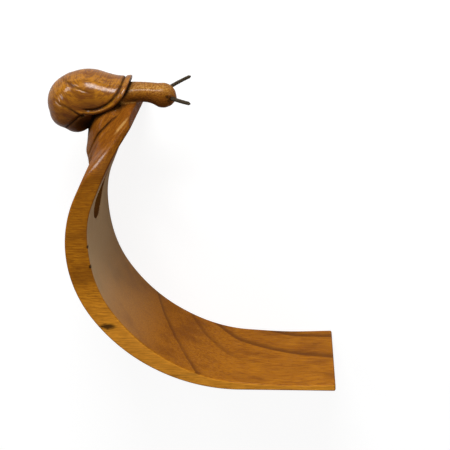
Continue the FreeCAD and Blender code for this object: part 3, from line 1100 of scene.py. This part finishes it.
    # The end face is darker, as end grain and as painted shade
    end_face = times(tree, band(tree, facing["X"], 0.5, 0.75), plain)
    colour = tint(tree, colour, times(tree, end_face, butt), 0.8, CHESTNUT)
    # Painted highlight along the end face's edge
    edge_highlight = spot_mask(tree, place, EDGE_HIGHLIGHT, EDGE_HIGHLIGHT_SIZE, ragged, BEVEL_LEAN)
    colour = tint(tree, colour, edge_highlight, 0.42, KHAKI_HIGHLIGHT)
    spots = spot_mask(tree, place, KNOT, KNOT_REACH, ragged)
    for chip in CHIPS:
        spots = calc(tree, "MAXIMUM", spots, spot_mask(tree, place, chip, CHIP_REACH, ragged))
    colour = tint(tree, colour, spots, 0.88, UMBER)
    # Painted shade in closed-in hollows, and stain in the cuts, both darkened towards umber
    shade_and_stain = calc(tree, "MAXIMUM", band(tree, mask(tree, "hollow"), 0.2, 0.8), mask(tree, "carved"))
    colour = tint(tree, colour, shade_and_stain, 0.92, UMBER)

    waves = noise(tree, place, (0.05, 0.08, 0.08), 2.0)
    tooled = noise(tree, place, (0.16, 0.28, 0.28), 2.0, 0.5, 0.4)
    relief = times(tree, wood.outputs["Fibre"], 0.1)
    relief = calc(tree, "ADD", relief, times(tree, waves, 0.8))
    relief = calc(tree, "SUBTRACT", relief, times(tree, wood.outputs["Pore"], 0.06))
    round_relief = calc(tree, "ADD", times(tree, tooled, 0.42), times(tree, speck, 0.07))
    pebbles = times(tree, speck, times(tree, skin, 0.6))
    relief = calc(tree, "ADD", relief, times(tree, round_relief, sculpted))
    relief = calc(tree, "ADD", relief, pebbles)
    bump = put(tree, "ShaderNodeBump", {"Height": relief, "Strength": 1.0, "Distance": 0.001})
    rough = calc(tree, "ADD", 0.4, times(tree, mottle, 0.15))
    rough = calc(tree, "ADD", rough, times(tree, shade_and_stain, 0.35))
    worn = spot_mask(tree, place, WORN_PLACE, WORN_SIZE, 0.5)
    gloss = calc(tree, "MAXIMUM", times(tree, shell, 0.52), times(tree, skin, 0.17))
    gloss = calc(tree, "MAXIMUM", gloss, calc(tree, "ADD", 0.09, times(tree, worn, 0.8)))
    bare = band(tree, facing["X"], 0.4, 0.8)
    gloss = times(tree, gloss, rest_of(tree, times(tree, bare, plain)))
    varnish = times(tree, rest_of(tree, shade_and_stain), gloss)
    finish_material(tree, colour, bump.outputs["Normal"], rough, varnish, 0.19)
    return material


def tentacle_material():
    """Near-black stained pin, a little lighter along its fibres."""
    material, tree = new_material("dark_pin")
    place = put(tree, "ShaderNodeTexCoord").outputs["Object"]
    fibre = noise(tree, place, (0.5, 1.6, 1.6), 4.0)
    colour = blend(tree, band(tree, fibre, 0.4, 0.7), PIN_DARK, PIN_LIGHT)
    bump = put(tree, "ShaderNodeBump", {"Height": fibre, "Strength": 0.6, "Distance": 0.0003})
    finish_material(tree, colour, bump.outputs["Normal"], 0.5)
    return material


# Stage: a white floor, soft light all round, and four rectangular lights around the holder:
# name, direction, distance, width, height, power, and the point it is aimed at

LIGHTS = [
    ("softbox", (0.0, 0.92, 0.44), 0.9, 0.42, 0.27, 7.9, (-0.04, 0.06, 0.04)),
    ("window", (-0.57, 0.73, 0.42), 0.9, 0.16, 0.16, 1.3, (-0.04, 0.06, 0.04)),
    ("side", (-0.85, 0.265, 0.43), 1.2, 0.36, 0.36, 3.3, (-0.04, 0.04, 0.05)),
    ("fill", (0.9, 0.15, 0.4), 1.2, 0.6, 0.6, 3.0, (-0.04, 0.0, 0.05)),
]


def add_floor():
    mesh = bpy.data.meshes.new("floor")
    reach = 3.0
    corners = [(-reach, -reach, 0), (reach, -reach, 0), (reach, reach, 0), (-reach, reach, 0)]
    mesh.from_pydata(corners, [], [(0, 1, 2, 3)])
    floor = bpy.data.objects.new("floor", mesh)
    bpy.context.scene.collection.objects.link(floor)
    material, tree = new_material("white_floor")
    diffuse = put(tree, "ShaderNodeBsdfDiffuse", {"Color": (0.85, 0.85, 0.85, 1)})
    seen = put(tree, "ShaderNodeLightPath").outputs["Is Camera Ray"]
    glow = put(tree, "ShaderNodeEmission", {"Strength": 1.2})
    share = times(tree, seen, 0.72)
    both = put(tree, "ShaderNodeMixShader", {0: share, 1: diffuse.outputs[0], 2: glow.outputs[0]})
    put(tree, "ShaderNodeOutputMaterial", {"Surface": both.outputs[0]})
    mesh.materials.append(material)
    return floor


def add_light(name, way, distance, width, height, power, aim):
    """A softbox that faces the point it is aimed at."""
    light = bpy.data.lights.new(name, "AREA")
    light.shape = "RECTANGLE"
    light.size = width
    light.size_y = height
    light.energy = power
    holder = bpy.data.objects.new(name, light)
    bpy.context.scene.collection.objects.link(holder)
    direction = Vector(way).normalized()
    holder.location = Vector(aim) + direction * distance
    holder.rotation_euler = direction.to_track_quat("Z", "Y").to_euler()
    return holder


def add_world(strength):
    world = bpy.data.worlds.new("studio")
    world.use_nodes = True
    background = world.node_tree.nodes["Background"]
    background.inputs["Color"].default_value = (1, 1, 1, 1)
    background.inputs["Strength"].default_value = strength
    bpy.context.scene.world = world


# Camera: where it stands in the upright object's frame, turned into the lying frame

CAMERA_TURN = math.radians(6.34)
CAMERA_RISE = math.radians(23.0)
CAMERA_ROLL = math.radians(-2.44)
CAMERA_DISTANCE = 964.29
FOCAL_PIXELS = 1350
IMAGE_SIZE = 450
AIM_PIXEL = (230, 364)
AIM_POINT = np.array([19.048, -110.687, 40.0])


def add_camera():
    back = np.array([
        math.sin(CAMERA_TURN) * math.cos(CAMERA_RISE),
        math.sin(CAMERA_RISE),
        math.cos(CAMERA_TURN) * math.cos(CAMERA_RISE),
    ])
    level = np.array([math.cos(CAMERA_TURN), 0, -math.sin(CAMERA_TURN)])
    rise = np.cross(back, level)
    right = level * math.cos(CAMERA_ROLL) + rise * math.sin(CAMERA_ROLL)
    up = rise * math.cos(CAMERA_ROLL) - level * math.sin(CAMERA_ROLL)
    scale = CAMERA_DISTANCE / FOCAL_PIXELS
    across = (AIM_PIXEL[0] - IMAGE_SIZE / 2) * scale
    down = (AIM_PIXEL[1] - IMAGE_SIZE / 2) * scale
    place = AIM_POINT + back * CAMERA_DISTANCE - right * across + up * down
    camera = bpy.data.cameras.new("camera")
    camera.sensor_width = 36
    camera.lens = camera.sensor_width * FOCAL_PIXELS / IMAGE_SIZE
    holder = bpy.data.objects.new("camera", camera)
    rows = [[right[i], up[i], back[i], place[i] * MM] for i in range(3)]
    holder.matrix_world = Matrix(rows + [[0, 0, 0, 1]])
    bpy.context.scene.collection.objects.link(holder)
    bpy.context.scene.camera = holder


# Everything together

growth = growth_group()
plank = plank_piece()
wood = carved_wood_material(growth)
plank.data.materials.append(wood)
shade_smooth(plank)
snail = snail_piece()
snail.data.materials.append(wood)
shade_smooth(snail, 60)
dark_pin = tentacle_material()
right_pin = tentacle_piece("right_pin", 0.93, 0.756, -1.7, 1, 3)
left_pin = tentacle_piece("left_pin", 0.835, 1.12, 18.3, -1, 5)
for pin in (right_pin, left_pin):
    pin.data.materials.append(dark_pin)

for piece, node, slot in (
    (plank, "carved_holder", "holder_wood"),
    (snail, "carved_holder", "holder_wood"),
    (right_pin, "right_tentacle", "tentacle_wood"),
    (left_pin, "left_tentacle", "tentacle_wood"),
):
    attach(piece, "root")
    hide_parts(node)

add_floor()
add_world(0.22)
for light in LIGHTS:
    add_light(*light)
add_camera()
bpy.context.scene.view_settings.view_transform = "Standard"
